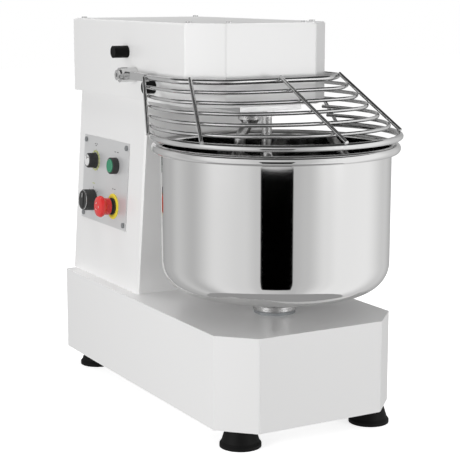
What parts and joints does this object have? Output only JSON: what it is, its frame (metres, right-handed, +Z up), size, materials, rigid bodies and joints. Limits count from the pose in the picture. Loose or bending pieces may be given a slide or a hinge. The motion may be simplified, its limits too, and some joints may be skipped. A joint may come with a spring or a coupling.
{
  "type": "spiral dough mixer",
  "caption": "Free-standing spiral dough mixer with a turning stainless bowl, spiral hook, fixed breaker bar, lift-up wire guard and side control panel.",
  "frame": {"origin": "middle of the overall length and width, on the floor under the feet", "axes": "+Z up, -Y is the front where the bowl is, +X to the right of someone facing the front"},
  "size_m": [0.395, 0.692, 0.6306],
  "materials": {
    "body_paint": "gloss powder coat",
    "stainless": "satin",
    "polished_steel": "polished",
    "bare_steel": "machined",
    "cast_iron": "painted grey",
    "aluminium": "anodised",
    "rubber": "matt",
    "belt_rubber": "matt",
    "black_plastic": "matt",
    "green_plastic": "gloss",
    "red_plastic": "gloss",
    "yellow_plastic": "matt",
    "motor_paint": "satin",
    "grey_plastic": "matt"
  },
  "bodies": {
    "frame": {"base_housing": "body_paint", "base_bottom_plate": "bare_steel", "rubber_feet": "rubber", "foot_bolts": "bare_steel", "column_housing": "body_paint", "rear_cover": "body_paint", "cover_screws": "polished_steel", "frame_bolts": "bare_steel", "head_housing": "body_paint", "head_lid": "body_paint", "control_panel": "aluminium", "panel_screws": "polished_steel", "control_switches": "grey_plastic", "start_button_bezel": "black_plastic", "emergency_stop_collar": "black_plastic", "emergency_stop_disc": "yellow_plastic", "switch_blocks": "grey_plastic", "bowl_bearing_housing": "cast_iron", "ball_bearings": "polished_steel", "countershaft_bearing": "cast_iron", "drive_belts": "belt_rubber", "layshaft_bearings": "cast_iron", "motor_body": "motor_paint", "motor_fan_cover": "motor_paint", "motor_plate": "bare_steel", "motor_plate_bolts": "bare_steel", "electrical_box": "grey_plastic", "cable_gland": "black_plastic", "hook_bearing_housing": "cast_iron", "breaker_bar": "stainless", "guard_switch": "black_plastic", "guard_buffers": "rubber"},
    "bowl": {"bowl": "stainless", "bowl_hub": "stainless", "bowl_bolts": "polished_steel", "bowl_shaft": "bare_steel", "bowl_gear": "cast_iron"},
    "countershaft": {"countershaft": "bare_steel", "countershaft_pulley": "aluminium", "bowl_pinion": "bare_steel"},
    "layshaft": {"layshaft": "bare_steel", "layshaft_small_pulleys": "cast_iron", "layshaft_large_pulley": "aluminium"},
    "motor": {"motor_rotor": "bare_steel", "motor_pulley": "cast_iron"},
    "hook": {"hook_shaft": "bare_steel", "hook_pulley": "aluminium", "spiral_hook": "stainless", "hook_bolts": "polished_steel"},
    "guard": {"guard_top_rail": "polished_steel", "guard_rings": "polished_steel", "guard_bottom_ring": "polished_steel", "guard_ribs": "polished_steel", "guard_arms": "polished_steel", "guard_pivot_pins": "polished_steel", "guard_cam": "bare_steel"},
    "timer_knob": {"timer_knob": "black_plastic"},
    "selector_knob": {"selector_knob": "black_plastic"},
    "start_button": {"start_button": "green_plastic"},
    "emergency_stop_button": {"emergency_stop_button": "red_plastic"}
  },
  "joints": [
    {"name": "layshaft_spin", "type": "hinge", "parent": "frame", "child": "layshaft", "pos_m": [0, 0.1415, 0.3], "axis": [0, 0, 1], "continuous": true},
    {"name": "motor_spin", "type": "hinge", "parent": "frame", "child": "motor", "pos_m": [0, 0.2635, 0.3], "axis": [0, 0, 1], "continuous": true},
    {"name": "hook_spin", "type": "hinge", "parent": "frame", "child": "hook", "pos_m": [0, -0.0685, 0.3], "axis": [0, 0, 1], "continuous": true},
    {"name": "countershaft_spin", "type": "hinge", "parent": "frame", "child": "countershaft", "pos_m": [0, -0.0045, 0.3], "axis": [0, 0, 1], "continuous": true},
    {"name": "bowl_spin", "type": "hinge", "parent": "frame", "child": "bowl", "pos_m": [0, -0.1485, 0.3], "axis": [0, 0, 1], "continuous": true},
    {"name": "guard_lift", "type": "hinge", "parent": "frame", "child": "guard", "pos_m": [0, 0.0835, 0.541], "axis": [-1, 0, 0], "range_deg": [0, 110]},
    {"name": "timer_turn", "type": "hinge", "parent": "frame", "child": "timer_knob", "pos_m": [-0.12517, 0.2575, 0.379], "axis": [-0.9977, 0, 0.0673], "range_deg": [-300, 0]},
    {"name": "selector_turn", "type": "hinge", "parent": "frame", "child": "selector_knob", "pos_m": [-0.12996, 0.2615, 0.308], "axis": [-0.9977, 0, 0.0673], "range_deg": [-90, 0]},
    {"name": "start_press", "type": "slide", "parent": "frame", "child": "start_button", "axis": [0.9977, 0, -0.0673], "range_m": [0, 0.003], "stiffness_N_per_m": 400, "springref_m": -0.003},
    {"name": "emergency_stop_press", "type": "slide", "parent": "frame", "child": "emergency_stop_button", "axis": [0.9977, 0, -0.0673], "range_m": [0, 0.004]}
  ],
  "couplings": [
    {"joint": "motor_spin", "follows": "layshaft_spin", "ratio": 3.5},
    {"joint": "hook_spin", "follows": "layshaft_spin", "ratio": 0.51724},
    {"joint": "countershaft_spin", "follows": "layshaft_spin", "ratio": 0.33333},
    {"joint": "bowl_spin", "follows": "layshaft_spin", "ratio": -0.066667}
  ]
}
